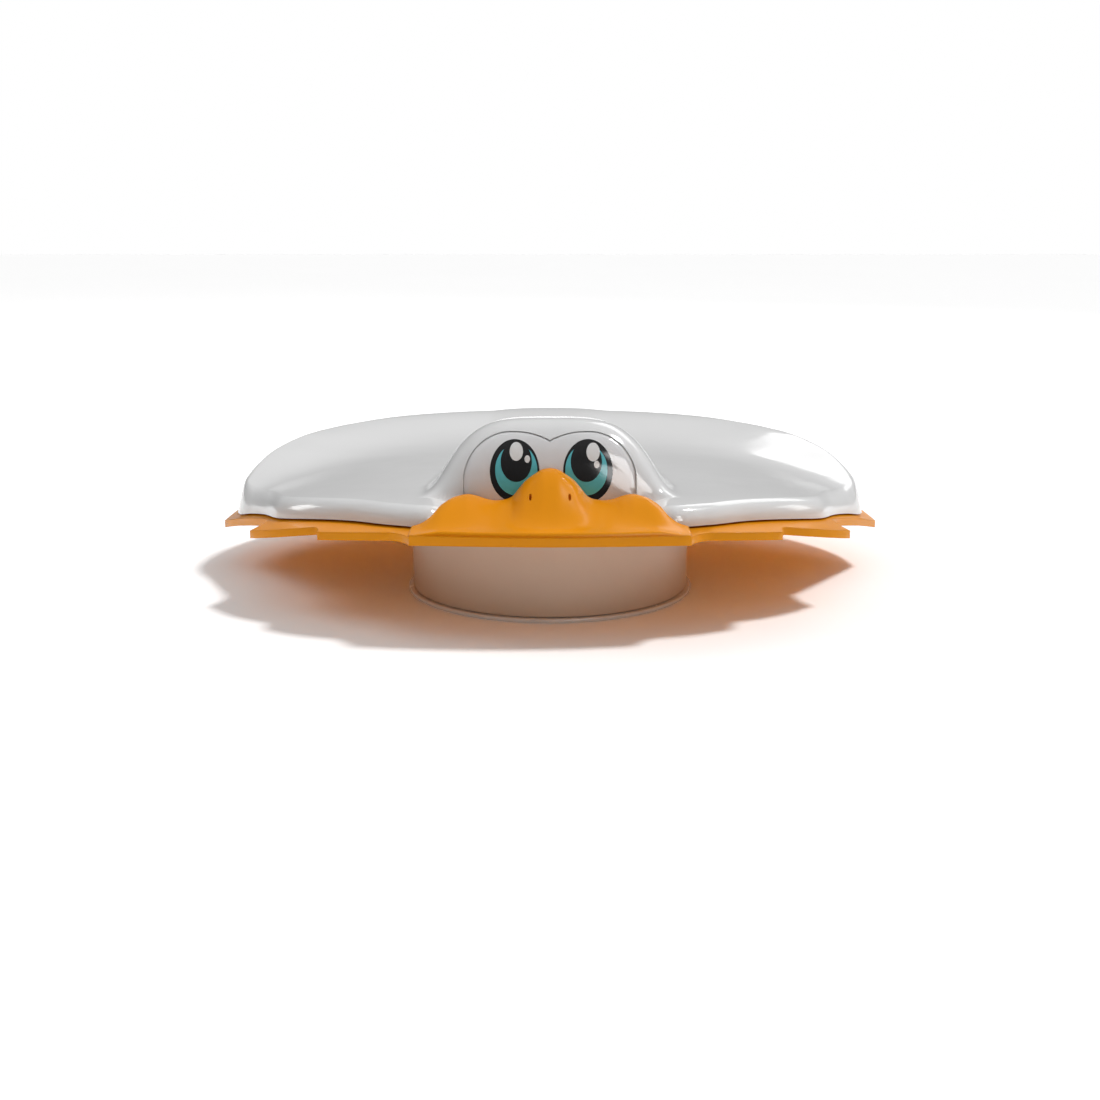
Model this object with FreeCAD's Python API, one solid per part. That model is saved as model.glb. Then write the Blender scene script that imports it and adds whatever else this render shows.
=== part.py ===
import FreeCAD, Part
import math
import os

# Floating chlorine dispenser: a bird-shaped float over a tablet cup. Millimetres.
# +X is the bird's own left wing, the beak points to -Y, +Z is up.
# The origin is the centre of the flat underside of the dose dial.

os.makedirs("parts", exist_ok=True)
V = FreeCAD.Vector

# ---------------------------------------------------------------- main sizes
BRIM_HALF_WIDTH = 115.7
BRIM_CENTRE_Y = 27.0
BRIM_HALF_DEPTH = 94.7
TRAY_TOP = 31.35             # top of the tray on the centre line
TRAY_THICKNESS = 2.5
WING_DROOP = 15.2            # how far the wing tips hang below the middle
DROOP_POWER = 3.7

SHELL_INSET = 4.9            # shell foot to brim edge
SHELL_WALL = 2.2
SHOULDER_HEIGHT = 6.5        # front of the wings above the tray
SHOULDER_REACH = 9.0         # how far back the front shoulder fades
DISH_HEIGHT = 4.5            # hollow of the wings above the tray
RIM_REACH = 30.0             # how far in the raised rim fades
RIM_BLEND = 3.0              # keeps the rim from sinking below the hollow
EDGE_ROLL = 5.0              # rounding where the shell turns down to its foot
FOOT_STEP = 0.6              # straight wall under the rounding
FOOT_GAP = 0.03              # shell foot to tray

HEAD_CENTRE_Y = -20.0
HEAD_TOP = 59.0
HEAD_SINK = 4.0              # the head's form starts this far below the tray's top
HEAD_HALF_WIDTH = 40.0
HEAD_FRONT_REACH = 17.0
HEAD_BLEND = 8.0             # softness of the join between head and wings

CUP_RADIUS = 46.0
CUP_WALL = 2.4
CUP_UNDERSIDE = 1.6
CUP_FLOOR_TOP = 4.6
CUP_TOP = 28.2
SEAL_THICKNESS = 0.55

DIAL_RADIUS = 47.5
DIAL_THICKNESS = 1.3
DIAL_PIN_RADIUS = 3.0
DIAL_PIN_TOP = 7.6
PIN_CLEARANCE = 0.08

COLLAR_OUTER = 43.2
COLLAR_INNER = 40.2
COLLAR_BOTTOM = 14.85
THREAD_LEAD = 72.0           # drop per whole turn of the cup
LUG_COUNT = 3
LUG_INNER = 41.7
LUG_Z = 23.5
LUG_HALF_HEIGHT = 1.3
LUG_HALF_ANGLE = 6.0
THREAD_CLEARANCE = 0.4
CHANNEL_INNER = 41.2
CHANNEL_END = 70.0           # turn at which the channel has left the collar

SLOT_COUNT = 6
SLOT_INNER = 20.0
SLOT_OUTER = 38.0
SLOT_HALF_ANGLE = 12.0

TABLET_COUNT = 6
TABLET_RADIUS = 12.5
TABLET_HEIGHT = 19.0
TABLET_RING = 27.2

SCREW_RADIUS = 1.5
SCREW_PLACES = [(62.0, -22.0), (84.0, 68.0), (38.0, 101.0)]   # mirrored to the other side
BOSS_RADIUS = 4.0
PAD_RADIUS = 5.0
FUSE_TOLERANCE = 0.001
PAD_DEPTH = 3.6


# ---------------------------------------------------------------- curves
def smooth_curve(knots):
    """Cubic through the knots that never overshoots; returns a function of one number."""
    xs = [k[0] for k in knots]
    ys = [k[1] for k in knots]
    steps = [(ys[i + 1] - ys[i]) / (xs[i + 1] - xs[i]) for i in range(len(xs) - 1)]
    slopes = [steps[0]]
    for left, right in zip(steps, steps[1:]):
        slopes.append(0.0 if left * right <= 0 else 2 * left * right / (left + right))
    slopes.append(steps[-1])

    def value(x):
        x = min(max(x, xs[0]), xs[-1])
        i = 0
        while i < len(xs) - 2 and x > xs[i + 1]:
            i += 1
        width = xs[i + 1] - xs[i]
        t = (x - xs[i]) / width
        bend = width * t * (1 - t)
        rise = t * t * (3 - 2 * t)
        return (ys[i] + (ys[i + 1] - ys[i]) * rise
                + bend * (slopes[i] * (1 - t) - slopes[i + 1] * t))

    return value


def tray_top(x):
    """Height of the tray's upper face: level in the middle, drooping at the tips."""
    return TRAY_TOP - WING_DROOP * (abs(x) / BRIM_HALF_WIDTH) ** DROOP_POWER


# Front foot of the shell: distance from the centre line -> y.
FOOT_KNOTS = [(0.0, -41.5), (14.0, -42.5), (26.0, -47.0), (37.0, -53.5), (48.0, -49.0), (60.0, -40.0),
              (79.0, -26.0), (88.0, -16.5), (95.0, -2.5), (102.0, 9.5), (108.0, 19.0), (110.8, 27.0)]
outer_foot_front = smooth_curve(FOOT_KNOTS)

# Height of the raised rim by y, and the falling line of the bird's back.
rim_height = smooth_curve([(-20.0, 24.5), (10.0, 26.5), (27.0, 29.9), (43.0, 34.0), (52.0, 36.4),
                           (60.0, 38.0), (70.0, 39.8), (83.0, 41.1), (98.0, 42.4), (121.0, 43.2)])
back_top = smooth_curve([(-20.0, 59.0), (0.0, 56.5), (20.0, 52.0), (45.0, 46.5), (80.0, 40.5),
                         (121.0, 34.0)])
back_half_width = smooth_curve([(-20.0, 40.0), (10.0, 36.0), (60.0, 27.0), (121.0, 22.0)])


def shell_half_width(inset):
    return BRIM_HALF_WIDTH - SHELL_INSET - inset


def foot_front(x, inset):
    """y of the shell's front foot, moved in from the outer foot by the inset."""
    half = shell_half_width(inset)
    a = min(abs(x) * shell_half_width(0.0) / half, shell_half_width(0.0))
    y = outer_foot_front(a)
    return y + 1.35 * inset * (BRIM_CENTRE_Y - y) / 75.0


def foot_back(x, inset):
    """y of the shell's rear foot."""
    t = min(abs(x) / shell_half_width(inset), 1.0)
    return BRIM_CENTRE_Y + (BRIM_HALF_DEPTH - SHELL_INSET - inset) * math.sqrt(1 - t * t)


def front_edge_distance(x, y, inset):
    step = 0.5
    slope = (foot_front(abs(x) + step, inset) - foot_front(abs(x) - step, inset)) / (2 * step)
    return max(0.0, (y - foot_front(x, inset)) / math.sqrt(1 + slope * slope))


def back_edge_distance(x, y, inset):
    half_x = shell_half_width(inset)
    half_y = BRIM_HALF_DEPTH - SHELL_INSET - inset
    across = x / half_x
    along = (y - BRIM_CENTRE_Y) / half_y
    reach = math.hypot(across, along)
    if reach < 0.05:
        return half_y
    gradient = math.hypot(across / half_x, along / half_y) / reach
    return max(0.0, (1 - reach) / gradient)


def roll(distance, radius):
    """0 at the foot, 1 one radius in, round in between."""
    return math.sqrt(1 - (1 - min(distance / radius, 1.0)) ** 2)


def fade(distance, reach):
    return 1 / (1 + (distance / reach) ** 3)


def smoothstep(low, high, value):
    t = min(max((value - low) / (high - low), 0.0), 1.0)
    return t * t * (3 - 2 * t)


def head_height(x, y, inset):
    """Dome of the head in front, the narrowing line of the back behind it."""
    in_front = y < HEAD_CENTRE_Y
    width = (HEAD_HALF_WIDTH if in_front else back_half_width(y)) - inset
    top = (HEAD_TOP if in_front else back_top(y)) - inset
    low = tray_top(x) - HEAD_SINK
    across = max(0.0, 1 - (abs(x) / width) ** 4) ** 1.1
    ahead = max(0.0, HEAD_CENTRE_Y - y) / (HEAD_FRONT_REACH - inset)
    along = max(0.0, 1 - ahead ** 2.5) ** 0.45
    return low + (top - low) * across * along


def shell_height(x, y, inset):
    """Height of the shell's outer form, moved inwards by the inset."""
    base = tray_top(x)
    front = front_edge_distance(x, y, inset)
    back = back_edge_distance(x, y, inset)
    rim_part = fade(back, RIM_REACH)
    rise = rim_height(y) - base - DISH_HEIGHT
    wing = base + DISH_HEIGHT + (rise + math.hypot(rise, RIM_BLEND)) / 2 * rim_part
    wing += (SHOULDER_HEIGHT - DISH_HEIGHT) * fade(front, SHOULDER_REACH) * (1 - rim_part)
    wing -= inset
    head = head_height(x, y, inset)
    top = (wing + head + math.hypot(wing - head, HEAD_BLEND)) / 2
    foot = base + FOOT_STEP
    return foot + (top - foot) * roll(front, EDGE_ROLL) * roll(back, EDGE_ROLL)


# ---------------------------------------------------------------- shape helpers
def cylinder(radius, z0, z1, x=0.0, y=0.0):
    return Part.makeCylinder(radius, z1 - z0, V(x, y, z0))


def tube(outer, inner, z0, z1, x=0.0, y=0.0):
    return cylinder(outer, z0, z1, x, y).cut(cylinder(inner, z0 - 1, z1 + 1, x, y))


def polar(radius, degrees, z):
    angle = math.radians(degrees)
    return V(radius * math.cos(angle), radius * math.sin(angle), z)


def mirrored(shape):
    return shape.mirror(V(0, 0, 0), V(1, 0, 0))


def sector(inner, outer, half_angle, middle, z0, z1):
    """Curved slot-shaped block between two radii."""
    def at(radius, degrees):
        return polar(radius, degrees, z0)

    low = middle - half_angle
    high = middle + half_angle
    edges = [
        Part.makeLine(at(inner, low), at(outer, low)),
        Part.Arc(at(outer, low), at(outer, middle), at(outer, high)).toShape(),
        Part.makeLine(at(outer, high), at(inner, high)),
        Part.Arc(at(inner, high), at(inner, middle), at(inner, low)).toShape(),
    ]
    return Part.Face(Part.Wire(edges)).extrude(V(0, 0, z1 - z0))


def helical_block(inner, outer, middle, half_height, turn_from, turn_to):
    """Block that follows the cup's unscrewing path between two turns (degrees)."""
    count = max(3, math.ceil((turn_to - turn_from) / 8) + 1)
    profiles = []
    for i in range(count):
        turn = turn_from + (turn_to - turn_from) * i / (count - 1)
        z = LUG_Z - THREAD_LEAD * turn / 360
        angle = middle - turn
        corners = [polar(inner, angle, z - half_height), polar(outer, angle, z - half_height),
                   polar(outer, angle, z + half_height), polar(inner, angle, z + half_height)]
        profiles.append(Part.makePolygon(corners + corners[:1]))
    return Part.makeLoft(profiles, True, False)


def drooped_slab(low, high):
    """Everything between two offsets from the tray's upper face."""
    half = BRIM_HALF_WIDTH + 4
    count = 25
    xs = [-half + 2 * half * i / (count - 1) for i in range(count)]
    start_y = -80.0
    lower = Part.BSplineCurve()
    lower.interpolate([V(x, start_y, tray_top(x) + low) for x in xs])
    upper = Part.BSplineCurve()
    upper.interpolate([V(x, start_y, tray_top(x) + high) for x in xs])
    ends = [V(xs[0], start_y, tray_top(xs[0])), V(xs[-1], start_y, tray_top(xs[-1]))]
    sides = [Part.makeLine(e + V(0, 0, low), e + V(0, 0, high)) for e in ends]
    wire = Part.Wire(Part.__sortEdges__([lower.toShape(), sides[1], upper.toShape(), sides[0]]))
    return Part.Face(wire).extrude(V(0, 220, 0))


# ---------------------------------------------------------------- shell form
MIDDLE_FRACTIONS = [0.03, 0.055, 0.085, 0.13, 0.2, 0.34, 0.5, 0.66, 0.8, 0.92]
SECTION_FRACTIONS = [0.08, 0.16, 0.235, 0.3, 0.36, 0.43, 0.52, 0.63, 0.74, 0.83, 0.9, 0.955, 0.985, 0.998]


def section_places(inset):
    """x of every section: closer across the head's flanks and at the wing tips."""
    side = [shell_half_width(inset) * f for f in SECTION_FRACTIONS]
    return [-x for x in reversed(side)] + [0.0] + side


def section_points(x, inset):
    """Points of the shell's top line at one x, from front foot to rear foot."""
    front = foot_front(x, inset)
    back = foot_back(x, inset)
    radius = min(EDGE_ROLL, (back - front) / 3)
    steps = [radius * (1 - math.cos(math.radians(a))) for a in (0, 38, 68)]
    inner_front = front + radius
    inner_back = back - radius
    ys = [front + s for s in steps]
    ys += [inner_front + (inner_back - inner_front) * f for f in MIDDLE_FRACTIONS]
    ys += [back - s for s in reversed(steps)]
    return [V(x, y, shell_height(x, y, inset)) for y in ys]


def shared_parameters(inset):
    """One spacing for all sections, averaged from a head section and a wing section."""
    totals = None
    for x in (0.0, 60.0):
        points = section_points(x, inset)
        along = [0.0]
        for a, b in zip(points, points[1:]):
            along.append(along[-1] + (b - a).Length)
        scaled = [s / along[-1] for s in along]
        totals = scaled if totals is None else [t + s for t, s in zip(totals, scaled)]
    return [t / 2 for t in totals]


def shell_form(inset, drop=0.0):
    """Solid form of the shell, reaching down past the tray's top face by the drop."""
    parameters = shared_parameters(inset)
    profiles = []
    for x in section_places(inset):
        points = section_points(x, inset)
        top = Part.BSplineCurve()
        top.interpolate(Points=points, Parameters=parameters)
        edges = [top.toShape()]
        down = V(0, 0, -drop)
        if drop > 0:
            edges.append(Part.makeLine(points[-1], points[-1] + down))
        edges.append(Part.makeLine(points[-1] + down, points[0] + down))
        if drop > 0:
            edges.append(Part.makeLine(points[0] + down, points[0]))
        profiles.append(Part.Wire(edges))
    return Part.makeLoft(profiles, True, False)


# ---------------------------------------------------------------- outlines
def arcs(points):
    """Edges through (start, middle, end) triples given as one list of points."""
    edges = []
    for i in range(0, len(points) - 2, 2):
        edges.append(Part.Arc(*points[i:i + 3]).toShape())
    return edges


def brim_prism(z0, z1):
    """Plan outline of the brim: beak front, three feather tips a side, elliptical back."""
    side = [(0, -67.8), (21, -66.9), (41, -64.2), (43.6, -59.7), (47.6, -56.7), (59.5, -53.4),
            (70.3, -47.9), (70.6, -43.8), (72.0, -40.0), (84.5, -34.0), (96.0, -23.0),
            (93.4, -16.6), (92.6, -10.0), (103.6, 7.0), (BRIM_HALF_WIDTH, BRIM_CENTRE_Y)]
    right = arcs([V(x, y, z0) for x, y in side])
    left = arcs([V(-x, y, z0) for x, y in side])
    ellipse = Part.Ellipse(V(0, BRIM_CENTRE_Y, z0), BRIM_HALF_WIDTH, BRIM_HALF_DEPTH)
    back = ellipse.toShape(0, math.pi)
    wire = Part.Wire(Part.__sortEdges__(right + [back] + left))
    return Part.Face(wire).extrude(V(0, 0, z1 - z0))


def foot_prism(inset, z0, z1):
    """Straight-sided block over the shell's foot outline."""
    half = shell_half_width(inset)
    front = Part.BSplineCurve()
    front.interpolate([V(x, foot_front(x, inset), z0) for x in
                       [-half] + section_places(inset)[1:-1] + [half]])
    ellipse = Part.Ellipse(V(0, BRIM_CENTRE_Y, z0), half, BRIM_HALF_DEPTH - SHELL_INSET - inset)
    wire = Part.Wire(Part.__sortEdges__([front.toShape(), ellipse.toShape(0, math.pi)]))
    return Part.Face(wire).extrude(V(0, 0, z1 - z0))


FACE_HALF_WIDTH = 26.7
FACE_BOTTOM = 34.5


def face_prism(margin):
    """Heart-topped outline of the face insert, extruded through the front of the head."""
    def at(x, z):
        return V(x, -75, z)

    side_x = FACE_HALF_WIDTH - margin
    right = [at(0, 54.3 - 1.4 * margin), at(5.2, 56.1 - margin), at(11.5, 56.7 - margin),
             at(21.6, 53.2 - margin), at(side_x, 44.0)]
    edges = arcs(right)
    edges.append(Part.makeLine(right[-1], at(side_x, FACE_BOTTOM + margin)))
    mirror_edges = [mirrored(e) for e in edges]
    bottom = Part.makeLine(at(side_x, FACE_BOTTOM + margin), at(-side_x, FACE_BOTTOM + margin))
    wire = Part.Wire(Part.__sortEdges__(edges + [bottom] + mirror_edges))
    return Part.Face(wire).extrude(V(0, 53, 0))


EYE_X = 11.4
EYE_Z = 45.0
EYE_HALF_WIDTH = 7.8
EYE_HALF_HEIGHT = 9.2


def eye_prism(side):
    centre = V(side * EYE_X, -75, EYE_Z)
    tall = Part.Ellipse(centre + V(0, 0, EYE_HALF_HEIGHT), centre + V(EYE_HALF_WIDTH, 0, 0), centre)
    return Part.Face(Part.Wire(tall.toShape())).extrude(V(0, 53, 0))


# ---------------------------------------------------------------- float body
def screw_places():
    return [(side * x, y) for x, y in SCREW_PLACES for side in (-1, 1)]


def upper_shell(outer):
    cavity = shell_form(SHELL_WALL, drop=6.0)
    shell = outer.cut(cavity)
    boss_limit = shell_form(SHELL_WALL / 2, drop=2.0)
    for x, y in screw_places():
        boss_foot = tray_top(abs(x) - BOSS_RADIUS) + 0.05
        boss = cylinder(BOSS_RADIUS, boss_foot, 60.0, x, y).common(boss_limit)
        shell = shell.fuse(boss)
    for x, y in screw_places():
        shell = shell.cut(cylinder(SCREW_RADIUS + 0.05, 5.0, screw_tip(x), x, y))
    recess = face_prism(0.0).common(outer).cut(shell_form(1.3, drop=6.0))
    return shell.cut(recess)


def screw_tip(x):
    return tray_top(x) + 3.6


def pad_bottom(x):
    return tray_top(x) - TRAY_THICKNESS - PAD_DEPTH


BEAK_HALF_WIDTH = 39.5
BEAK_LIP_TOP = 31.9
BEAK_LIP_BOTTOM = 28.2
beak_edge_z = smooth_curve([(0.0, 46.2), (2.0, 45.9), (5.0, 44.3), (7.8, 42.2), (9.7, 40.0), (11.8, 37.6),
                            (13.9, 36.8), (16.5, 36.6), (19.7, 37.2), (22.5, 38.3), (25.6, 39.0),
                            (29.0, 38.7), (32.1, 37.5), (35.5, 34.9), (38.5, 32.8), (41.3, 32.2)])
beak_edge_y = smooth_curve([(0.0, -35.0), (12.0, -37.3), (17.6, -38.4), (22.0, -39.2), (25.6, -40.6),
                            (29.0, -43.4), (32.0, -46.8), (35.5, -50.4), (38.5, -52.4), (41.3, -53.2)])


def beak_section(x):
    """Closed section of the upper beak at one x, running back into the head."""
    a = abs(x)
    crease_y = -63.4 + 3.2 * (a / 41.0) ** 2
    edge_y = beak_edge_y(a)
    rise = beak_edge_z(a) - BEAK_LIP_TOP
    steps = (0.0, 0.12, 0.25, 0.4, 0.55, 0.7, 0.85, 1.0)
    points = [V(x, crease_y + (edge_y - crease_y) * s, BEAK_LIP_TOP + rise * smoothstep(0.0, 1.0, s))
              for s in steps]
    points.append(V(x, edge_y + 4.0, BEAK_LIP_TOP + rise * 0.97))
    top = Part.BSplineCurve()
    top.interpolate(Points=points, Parameters=[0.87 * s for s in steps] + [1.0])
    foot_back_point = V(x, edge_y + 4.0, 30.0)
    foot_front_point = V(x, crease_y, 30.0)
    edges = [top.toShape(), Part.makeLine(points[-1], foot_back_point),
             Part.makeLine(foot_back_point, foot_front_point),
             Part.makeLine(foot_front_point, points[0])]
    return Part.Wire(edges)


def upper_beak():
    count = 41
    xs = [-BEAK_HALF_WIDTH + 2 * BEAK_HALF_WIDTH * i / (count - 1) for i in range(count)]
    return Part.makeLoft([beak_section(x) for x in xs], True, False)


def beak_lip():
    """Thicker front lip of the tray under the beak."""
    reach = Part.makeBox(82, 22, BEAK_LIP_TOP - BEAK_LIP_BOTTOM, V(-41, -70, BEAK_LIP_BOTTOM))
    return brim_prism(10, 50).common(reach)


def collar():
    """Skirt that hangs inside the cup's mouth, with a sloping channel for each lug."""
    skirt = tube(COLLAR_OUTER, COLLAR_INNER, COLLAR_BOTTOM, TRAY_TOP - 1)
    for i in range(LUG_COUNT):
        channel = helical_block(CHANNEL_INNER, COLLAR_OUTER + 1.5, 90 + 120 * i,
                                LUG_HALF_HEIGHT + THREAD_CLEARANCE,
                                -LUG_HALF_ANGLE - 0.7, CHANNEL_END)
        skirt = skirt.cut(channel)
    return skirt


def base_tray():
    tray = brim_prism(5, 45).common(drooped_slab(-TRAY_THICKNESS, 0))
    tray = tray.cut(tube(49.0, COLLAR_OUTER, 15, TRAY_TOP - TRAY_THICKNESS))
    tray = tray.fuse(collar())
    under_plate = drooped_slab(-30, -TRAY_THICKNESS / 2)
    for x, y in screw_places():
        pad = cylinder(PAD_RADIUS, pad_bottom(x), tray_top(x) + 3, x, y).common(under_plate)
        tray = tray.fuse(pad)
    for x, y in screw_places():
        tray = tray.cut(cylinder(SCREW_RADIUS + 0.2, 5, 45, x, y))
        tray = tray.cut(cylinder(3.5, pad_bottom(x) - 1, pad_bottom(x) + 3.0, x, y))
    beak = upper_beak().fuse(beak_lip()).cut(shell_form(-0.3, drop=6.0))
    return tray.multiFuse([beak], FUSE_TOLERANCE)


def foot_ring(outer_inset, inner_inset, low, high):
    """Ring along the shell's foot, between two offsets from the tray's upper face."""
    ring = foot_prism(outer_inset, 0, 50).cut(foot_prism(inner_inset, -1, 51))
    return ring.common(drooped_slab(low, high))


def shell_gasket():
    return foot_ring(SHELL_WALL + 0.6, SHELL_WALL + 2.0, 0.05, 0.9)


def face_plate():
    return face_prism(0.3).common(shell_form(0.25)).cut(shell_form(1.25, drop=2.0))


def eye(side):
    return eye_prism(side).common(shell_form(0.02)).cut(shell_form(0.2, drop=2.0))


def rounded_block(size, corner, radius):
    block = Part.makeBox(size[0], size[1], size[2], V(*corner))
    return block.makeFillet(radius, block.Edges)


def foam_head():
    return rounded_block((42, 36, 13), (-21, -24, TRAY_TOP + 0.3), 4)


def foam_back():
    return rounded_block((28, 66, 6), (-14, 24, TRAY_TOP + 0.3), 2)


def case_screws():
    screws = []
    for x, y in screw_places():
        seat = pad_bottom(x) + 3.0
        head = cylinder(3.2, seat - 1.9, seat - 0.05, x, y)
        driver = Part.makeBox(3.6, 0.8, 0.9, V(x - 1.8, y - 0.4, seat - 1.9))
        cross = Part.makeBox(0.8, 3.6, 0.9, V(x - 0.4, y - 1.8, seat - 1.9))
        shank = cylinder(SCREW_RADIUS, seat - 0.5, screw_tip(x) - 0.2, x, y)
        screws.append(head.fuse(shank).cut(driver).cut(cross))
    return Part.makeCompound(screws)


def screw_caps():
    caps = [cylinder(3.4, pad_bottom(x) + 0.05, pad_bottom(x) + 0.95, x, y) for x, y in screw_places()]
    return Part.makeCompound(caps)


# ---------------------------------------------------------------- cup and dial
def cut_slots(shape, z0, z1):
    for i in range(SLOT_COUNT):
        shape = shape.cut(sector(SLOT_INNER, SLOT_OUTER, SLOT_HALF_ANGLE, 60 * i, z0, z1))
    return shape


def cup():
    inside = CUP_RADIUS - CUP_WALL
    body = cylinder(CUP_RADIUS, CUP_UNDERSIDE, CUP_TOP)
    body = body.cut(cylinder(inside, CUP_FLOOR_TOP, CUP_TOP + 1))
    body = cut_slots(body, 0, CUP_FLOOR_TOP + 1)
    body = body.cut(cylinder(DIAL_PIN_RADIUS + PIN_CLEARANCE, 0, 10))
    for i in range(LUG_COUNT):
        lug = helical_block(LUG_INNER, inside + 0.8, 90 + 120 * i, LUG_HALF_HEIGHT,
                            -LUG_HALF_ANGLE, LUG_HALF_ANGLE)
        body = body.fuse(lug)
    return body.removeSplitter()


def cup_seal():
    return tube(CUP_RADIUS - 0.3, CUP_RADIUS - CUP_WALL + 0.2, CUP_TOP, CUP_TOP + SEAL_THICKNESS)


def tablet(index):
    centre = polar(TABLET_RING, 30 + 60 * index, CUP_FLOOR_TOP + 0.1)
    body = Part.makeCylinder(TABLET_RADIUS, TABLET_HEIGHT, centre)
    rims = [e for e in body.Edges if isinstance(e.Curve, Part.Circle)]
    return body.makeChamfer(1.5, rims)


def dose_dial():
    dial = cylinder(DIAL_RADIUS, 0, DIAL_THICKNESS)
    rims = [e for e in dial.Edges if isinstance(e.Curve, Part.Circle)]
    dial = dial.makeFillet(0.4, rims)
    dial = cut_slots(dial, -1, DIAL_THICKNESS + 1)
    return dial.fuse(cylinder(DIAL_PIN_RADIUS, DIAL_THICKNESS / 2, DIAL_PIN_TOP)).removeSplitter()


def dial_washer():
    return tube(7.5, DIAL_PIN_RADIUS + 0.35, CUP_FLOOR_TOP + 0.05, CUP_FLOOR_TOP + 0.75)


def dial_clip():
    low = CUP_FLOOR_TOP + 0.95
    ring = tube(6.2, DIAL_PIN_RADIUS + 0.02, low, low + 1.1)
    for i in range(6):
        notch = sector(DIAL_PIN_RADIUS - 0.5, 4.6, 5, 60 * i, low - 1, low + 3)
        ring = ring.cut(notch)
    return ring


# ---------------------------------------------------------------- write the parts
def save(name, shape):
    shape.exportStep(f"parts/{name}.step")
    box = shape.BoundBox
    print(f"{name:14s} solids {len(shape.Solids)} valid {shape.isValid()} volume {shape.Volume:10.1f}"
          f"  x {box.XMin:7.1f} {box.XMax:7.1f}  y {box.YMin:7.1f} {box.YMax:7.1f}"
          f"  z {box.ZMin:6.1f} {box.ZMax:6.1f}")


outer_form = shell_form(0.0, drop=FOOT_STEP - FOOT_GAP)
save("upper_shell", upper_shell(outer_form))
save("base_tray", base_tray())
save("face_plate", face_plate())
save("eye_left", eye(1))
save("eye_right", eye(-1))
save("shell_gasket", shell_gasket())
save("foam_head", foam_head())
save("foam_back", foam_back())
save("case_screws", case_screws())
save("screw_caps", screw_caps())
save("cup_seal", cup_seal())
save("cup", cup())
for number in range(TABLET_COUNT):
    save(f"tablet_{number + 1}", tablet(number))
save("dose_dial", dose_dial())
save("dial_washer", dial_washer())
save("dial_clip", dial_clip())
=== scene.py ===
import math

import bmesh
import bpy
import numpy as np
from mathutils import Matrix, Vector


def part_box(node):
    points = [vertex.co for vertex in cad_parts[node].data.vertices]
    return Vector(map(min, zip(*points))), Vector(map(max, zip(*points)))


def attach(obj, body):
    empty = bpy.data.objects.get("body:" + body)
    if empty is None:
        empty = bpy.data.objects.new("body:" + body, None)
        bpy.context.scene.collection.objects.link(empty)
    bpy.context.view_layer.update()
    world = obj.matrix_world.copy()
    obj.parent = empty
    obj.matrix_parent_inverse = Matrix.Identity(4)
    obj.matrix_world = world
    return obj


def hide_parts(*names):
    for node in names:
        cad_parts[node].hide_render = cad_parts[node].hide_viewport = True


# Looks for the bird-shaped chlorine float. The shape formulas are in millimetres; Blender gets metres.
# +X is the bird's own left, the beak points to -Y, and the origin is the middle of the dial's underside.
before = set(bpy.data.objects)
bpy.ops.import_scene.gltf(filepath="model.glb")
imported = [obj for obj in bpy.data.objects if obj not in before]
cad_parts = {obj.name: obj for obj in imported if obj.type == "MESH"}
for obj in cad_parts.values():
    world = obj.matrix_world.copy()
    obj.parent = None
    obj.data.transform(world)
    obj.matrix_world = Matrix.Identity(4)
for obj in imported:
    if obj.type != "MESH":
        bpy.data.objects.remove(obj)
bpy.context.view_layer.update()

MM = 0.001

# ---------------------------------------------------------------- sizes (mm)
tray_low, tray_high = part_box("base_tray")

BRIM_HALF_WIDTH = tray_high[0] / MM
BRIM_FRONT = tray_low[1] / MM
BRIM_CENTRE_Y = 27.0
SHELL_HALF_WIDTH = 110.8
SHELL_HALF_DEPTH = 89.8
TRAY_TOP = 31.35        # top of the tray on the centre line
WING_DROOP = 15.2       # how far the wing tips hang below the middle
DROOP_POWER = 3.7
SHELL_WALL = 2.2
INSET_SLANT = 1.35      # how far an inset foot moves back, for each mm of inset
INSET_SPAN = 75.0       # distance in front of the brim's centre where that holds in full
SHOULDER_HEIGHT = 5.4   # front of the wings above the tray
SHOULDER_REACH = 12.0   # how far back the front shoulder fades
DISH_HEIGHT = 4.5       # hollow of the wings above the tray
RIM_REACH = 30.0        # how far in the raised rim fades
RIM_BLEND = 3.0         # keeps the rim from sinking below the hollow
BROW_LEDGE = 0.8        # shell above the tray just in front of the head
BROW_SIDES = (24.0, 38.0)      # |x| where the ledge begins to fade and where it has gone
BROW_DEPTH = (-38.0, -30.0)    # the same for y
EDGE_ROLL = 5.0         # rounding where the shell turns down to its foot
FOOT_STEP = 0.6         # straight wall under the rounding
CENTRE_GUARD = 0.05     # keeps the middle of the brim's ellipse from dividing by zero
HEAD_CENTRE_Y = -20.0
HEAD_TOP = 58.9
HEAD_SINK = 4.0         # the head's form starts this far below the tray's top
HEAD_HALF_WIDTH = 40.0
HEAD_FRONT_REACH = 17.0
HEAD_BLEND = 8.0        # softness of the join between head and wings
HEAD_SIDE_POWER = 4
HEAD_SIDE_EASE = 1.1
HEAD_FRONT_POWER = 2.5
HEAD_FRONT_EASE = 0.45
FACE_SEARCH_Y = -42.0   # in front of every place on the face
HALVINGS = 30


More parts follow.
